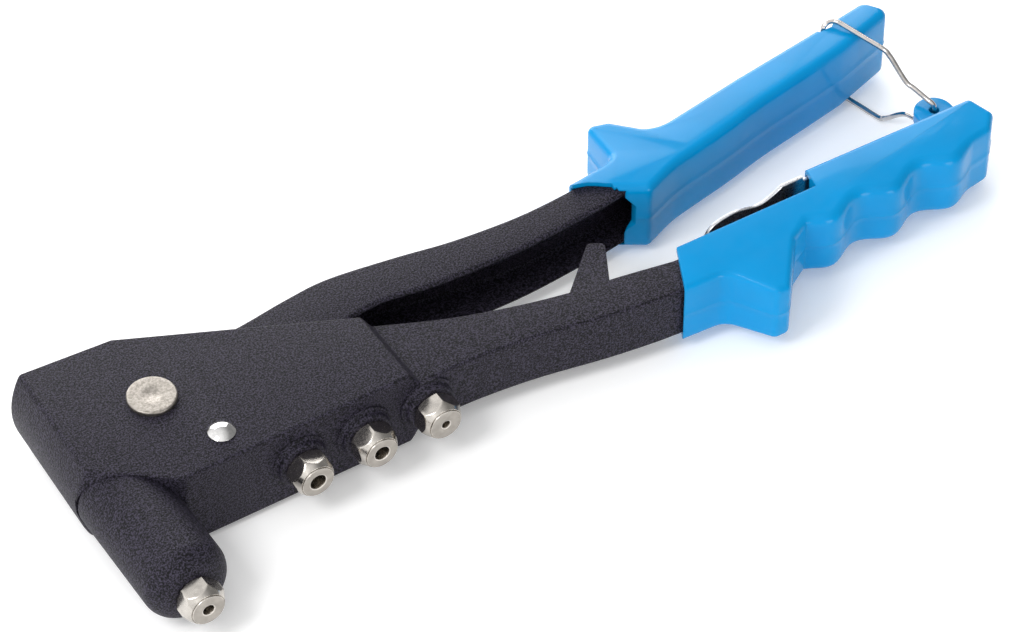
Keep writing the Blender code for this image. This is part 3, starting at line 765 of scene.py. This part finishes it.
GRIP_BACK = [(160, 18.9), (182, 22.6), (203, 25.7), (218, 28.2)]
GRIP_FRONT = [(149, 2.0), (154, 3.5), (170, 6.9), (184, 10.4), (199, 13.3), (212, 15.9)]


def moving_grip():
    """The sleeve on the lever: a horn, an open mouth with a hollowed lip and a notch for the latch."""
    horn = [(139.2, 14.4, 3), (140.4, 29.2, 2.2), (146.8, 27.4, 2.6), (155.0, 18.3, 7)]
    end = [(227.4, 30.2, 2.8), (231.2, 22.2, 2.8)]
    front = [*smooth(GRIP_FRONT)[::-1], (140.8, -1.5, 2.4), (133.2, 3.4), (118, 3.4)]
    outline = fillet([(118, 10.9), (127, 11.9), (135, 13.1), *horn, *GRIP_BACK, *end, *front])
    grip = pillow("moving_grip_sleeve", outline, MOVING_HALF, lambda x, y: MOVING_RIM, ridge=SEAM_RIDGE)
    crown(grip)
    mouth = [(110, -10), (133.4, -10), (133.4, 5.3), (130.4, 7.6), (128.4, 8.9), (124.8, 10.0), (124.8, 20)]
    lip = [(120, 14), (132.8, 14), (134.5, 8.3), (137.8, 4.0), (137.8, -2.0), (136.3, -3.5)]
    lip += [(134.9, -6.0), (133.5, -8.4), (133.5, -14), (120, -14)]
    lip = plate("lip", lip, -4, 12)
    lip.data.transform(Matrix.Rotation(radians(90), 4, "X"))
    back = [(x, y + LEVER_GAP) for x, y in LEVER_BACK if x > 118]
    lever_front = [(x, y - LEVER_GAP) for x, y in LEVER_FRONT if x > 118]
    reach = LEVER_END + 0.6
    sleeve = [(112, 10.2), *back, (reach, back[-1][1])]
    sleeve += [(reach, lever_front[-1][1]), *lever_front[::-1], (112, -1.6)]
    notch = [(210.2, 24.9), (214.0, 24.9), (217.0, 27.4), (217.0, 32), (210.2, 32)]
    grip = cut(
        grip,
        plate("mouth", [*mouth, (110, 20)], -PAST_SIDES, PAST_SIDES),
        lip,
        plate("sleeve", sleeve, -LEVER_HALF - LEVER_GAP, LEVER_HALF + LEVER_GAP),
        plate("notch", notch, -PAST_SIDES, PAST_SIDES),
    )
    place(grip, "moving_grip", "handle", PVC)


# ---------------------------------------------------------------- pins, nosepieces, spanner, latch


def pivot_rivet():
    """A flat head with a small dimple, and a smaller set head on the far side."""
    top, r = RIVET_HIGH.z, RIVET_R
    rim = arc((r - 0.5, top - 0.5), 0.5, 90, 0, 6)
    profile = [(0.02, top - 0.18), (1.4, top - 0.16), (1.9, top - 0.02), (3.6, top), (r - 1.2, top - 0.03)]
    profile += [*rim, (r - 0.05, UNDER_HEADS), (RIVET_SHANK_R, UNDER_HEADS), (RIVET_SHANK_R, -UNDER_HEADS)]
    tail = [(RIVET_TAIL_R, -UNDER_HEADS), (RIVET_TAIL_R, 0.5 - top), (RIVET_TAIL_R - 0.5, -top), (0.02, -top)]
    place(lathe("rivet", profile + tail, 96), "pivot_rivet", "frame", RIVET)


def stop_pin():
    """A domed head, a thinner shank and a flat head on the far side."""
    top, r = PIN_HIGH.z, PIN_R
    dome_r = (r**2 + DOME_RISE**2) / (2 * DOME_RISE)
    dome = [(r * i / 12, top - dome_r + sqrt(dome_r**2 - (r * i / 12) ** 2)) for i in range(13)]
    dome[0] = (0.01, top)
    shank = [(r, UNDER_HEADS), (PIN_SHANK_R, UNDER_HEADS), (PIN_SHANK_R, -UNDER_HEADS)]
    tail = [(PIN_TAIL_R, -UNDER_HEADS), (PIN_TAIL_R, PIN_LOW.z + 0.5), (2.9, PIN_LOW.z), (0.01, PIN_LOW.z)]
    pin = lathe("domed_pin", dome + shank + tail)
    pin.data.transform(Matrix.Translation((*PIN_AT, 0)))
    place(pin, "stop_pin", "frame", CHROME)


def nosepiece(name, body_name, hole_r, turn):
    """A hexagon chamfered at both ends, with a turned disc for a face in a darker nickel that is partly a
    turned finish, partly painted shade.
    """
    low, high = tool_box(name)
    face, shank_end = low.y, high.y
    seat, front = face + HEX_LENGTH, face + FACE_STEP

    def hexagon(angle):
        return HEX_AF / 2 / cos((angle % (pi / 3)) - pi / 6)

    outer = [(HEX_CORNER_R - BACK_CHAMFER * (1 - i / 6), seat - BACK_CHAMFER * i / 6) for i in range(7)]
    for i in range(16, -1, -1):
        outer.append((HEX_FRONT_R + (HEX_CORNER_R - HEX_FRONT_R) * i / 16, front + FRONT_CHAMFER * i / 16))
    outer += [(4.38, front), (4.3, front + 0.15), (FACE_R, front + 0.15), (FACE_R, face + 0.12)]
    outer += [(FACE_R - 0.04, face + 0.03), (FACE_R - 0.12, face), (hole_r + 0.4, face)]
    outer += [(hole_r + 0.12, face + 0.12), (hole_r, face + 0.5)]
    inner = [(hole_r, shank_end), (THREADED_TIP_R, shank_end)]
    inner += [(THREADED_R, shank_end - 0.6), (THREADED_R, seat)]
    piece = lathe("nose_" + name, outer + inner + outer[:1], 96, hexagon)
    piece.data.transform(Matrix.Rotation(radians(turn), 4, "Z"))
    place(along_barrel(piece, (low.x + high.x) / 2), name, body_name, NICKEL, 24)
    # The front faces get a second, darker nickel: partly a turned finish, partly painted shade.
    piece.data.materials.append(TURNED_FACE_AND_SHADE)
    just_behind_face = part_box(name)[0].y + 0.01 / METRE
    for facet in piece.data.polygons:
        if facet.center.y < just_behind_face:
            facet.material_index = 1


def spanner():
    """A flat stamping on edge: a rounded end, a neck and a jaw that fits the nosepieces."""
    low, high = tool_box("nosepiece_spanner")
    upper = smooth([(147.0, 1.5), (149.5, 5.0), (156, 6.5), (163, 5.3), (167, 6.4), (170.3, 8.4)])
    upper += [(176.4, 8.4), (176.8, 7.2), (191.5, 7.2), (191.5, 5.1), (182, 5.1), (179.4, 0)]
    outline = upper + [(x, -z) for x, z in upper[-2::-1]]
    piece = pillow("stamped_spanner", outline, (high.y - low.y) / 2, lambda x, y: SPANNER_EDGE, turns=2)
    piece.data.transform(Matrix.Rotation(radians(90), 4, "X"))
    piece.data.transform(Matrix.Translation((0, (low.y + high.y) / 2, 0)))
    place(piece, "nosepiece_spanner", "frame", ZINC)


def latch():
    """A wire bail from the ear's hole up over the moving grip's notch and down on the other side."""
    x, y = EAR_PIN.xy
    over = tool_box("latch_wire")[1].z - WIRE_R
    bar = (212.0, 25.85)
    upper = [(x, y, 0.45), (x, y, 2.6), (x - 0.2, y + 0.6, 3.7), (x - 0.8, y + 2.6, 4.3), (222.0, -1.0, 4.9)]
    upper += [(221.4, 1.0, 5.3), (220.8, 3.4, 7.2), (220.2, 5.8, 9.6), (219.8, 7.4, 10.9), (219.3, 9.2, over)]
    upper += [(217.6, 16.0, over), (215.9, 22.8, over), (215.2, 24.6, over)]
    upper += [(214.2, 25.6, over - 0.1), (213.2, 25.95, over - 0.5), (212.3, 25.95, over - 1.3)]
    upper += [(*bar, over - 2.4), (*bar, 4.0)]
    lower = [(px, py, -pz) for px, py, pz in upper[::-1]]
    place(wire("latch_bail", upper + lower, WIRE_R), "latch_wire", "latch", SPRING_WIRE)


def inside():
    """Gives an oiled steel to the CAD nodes inside the head, which are shown as they are."""
    for name in INSIDE:
        materials = frame["nodes"][name].data.materials
        materials.clear()
        materials.append(STEEL)


# ---------------------------------------------------------------- studio


def studio():
    """A pale floor in a soft white room that is brightest above and to the left."""
    bpy.ops.mesh.primitive_plane_add(size=FLOOR_SIZE)
    floor = bpy.context.object
    floor.name = "floor"
    pale = Shader("pale_floor")
    pale.set("Base Color", pale.ramp(pale.noise(0.002, 2.0), 0.3, 0.7, grey(0.97), grey(0.98)))
    pale.value("Roughness", 0.75)
    pale.value("Emission Color", (1, 1, 1, 1))
    pale.value("Emission Strength", FLOOR_GLOW)
    floor.data.materials.append(pale.done())
    world = bpy.data.worlds.new("studio")
    bpy.context.scene.world = world
    world.use_nodes = True
    nodes, links = world.node_tree.nodes, world.node_tree.links
    sky = nodes["Background"]
    aim = nodes.new("ShaderNodeVectorMath")
    aim.operation = "DOT_PRODUCT"
    aim.inputs[1].default_value = Vector(BRIGHT_SIDE).normalized()
    links.new(nodes.new("ShaderNodeTexCoord").outputs["Generated"], aim.inputs[0])
    shade = nodes.new("ShaderNodeMapRange")
    shade.interpolation_type = "SMOOTHSTEP"
    shade.inputs["From Min"].default_value = SHADE_START
    shade.inputs["From Max"].default_value = SHADE_END
    shade.inputs["To Min"].default_value = DARKEST
    shade.inputs["To Max"].default_value = BRIGHTEST
    links.new(aim.outputs["Value"], shade.inputs["Value"])
    mix = nodes.new("ShaderNodeMix")
    links.new(nodes.new("ShaderNodeLightPath").outputs["Is Camera Ray"], mix.inputs["Factor"])
    links.new(shade.outputs["Result"], mix.inputs["A"])
    mix.inputs["B"].default_value = 1.0
    links.new(mix.outputs["Result"], sky.inputs["Color"])
    for lamp in LAMPS:
        panel(*lamp)
    bpy.context.scene.view_settings.view_transform = "Standard"


def panel(name, at, size, power):
    """A soft square light that faces the tool."""
    data = bpy.data.lights.new(name, "AREA")
    data.shape = "SQUARE"
    data.size = size
    data.energy = power
    light = bpy.data.objects.new(name, data)
    light.location = at
    light.rotation_euler = (-Vector(at)).to_track_quat("-Z", "Y").to_euler()
    bpy.context.scene.collection.objects.link(light)


def camera():
    """A long lens that looks down over the tool from the front left."""
    data = bpy.data.cameras.new("camera")
    data.lens = LENS
    data.sensor_width = SENSOR
    data.clip_start, data.clip_end = 0.05, 20
    obj = bpy.data.objects.new("camera", data)
    obj.location = PIVOT + CAMERA_FROM_PIVOT
    obj.rotation_euler = CAMERA_LOOK.to_track_quat("-Z", "Y").to_euler()
    bpy.context.scene.collection.objects.link(obj)
    bpy.context.scene.camera = obj


PAINT = powder_coat()
PVC = grip_pvc()
RIVET = rivet_metal()
CHROME = worn_metal("chrome", (0.82, 0.81, 0.8), 0.06, 0.02, 0.1)
SPRING_WIRE = worn_metal("spring_wire", (0.6, 0.57, 0.55), 0.16, 0.1, 0)
NICKEL = worn_metal("nickel", (0.60, 0.565, 0.52), 0.2, 0.15, 0.12)
# Darker nickel for the nosepieces' front faces: partly a turned finish, partly painted shade.
TURNED_FACE_AND_SHADE = worn_metal("turned_and_shaded_nickel", (0.40, 0.37, 0.335), 0.36, 0.3, 0.1)
ZINC = worn_metal("zinc", (0.6, 0.61, 0.63), 0.3)
STEEL = worn_metal("oiled_steel", (0.42, 0.42, 0.43), 0.32)

body()
barrel()
lever()
fixed_grip()
moving_grip()
pivot_rivet()
stop_pin()
for row in NOSEPIECES:
    nosepiece(*row)
spanner()
latch()
inside()
studio()
camera()
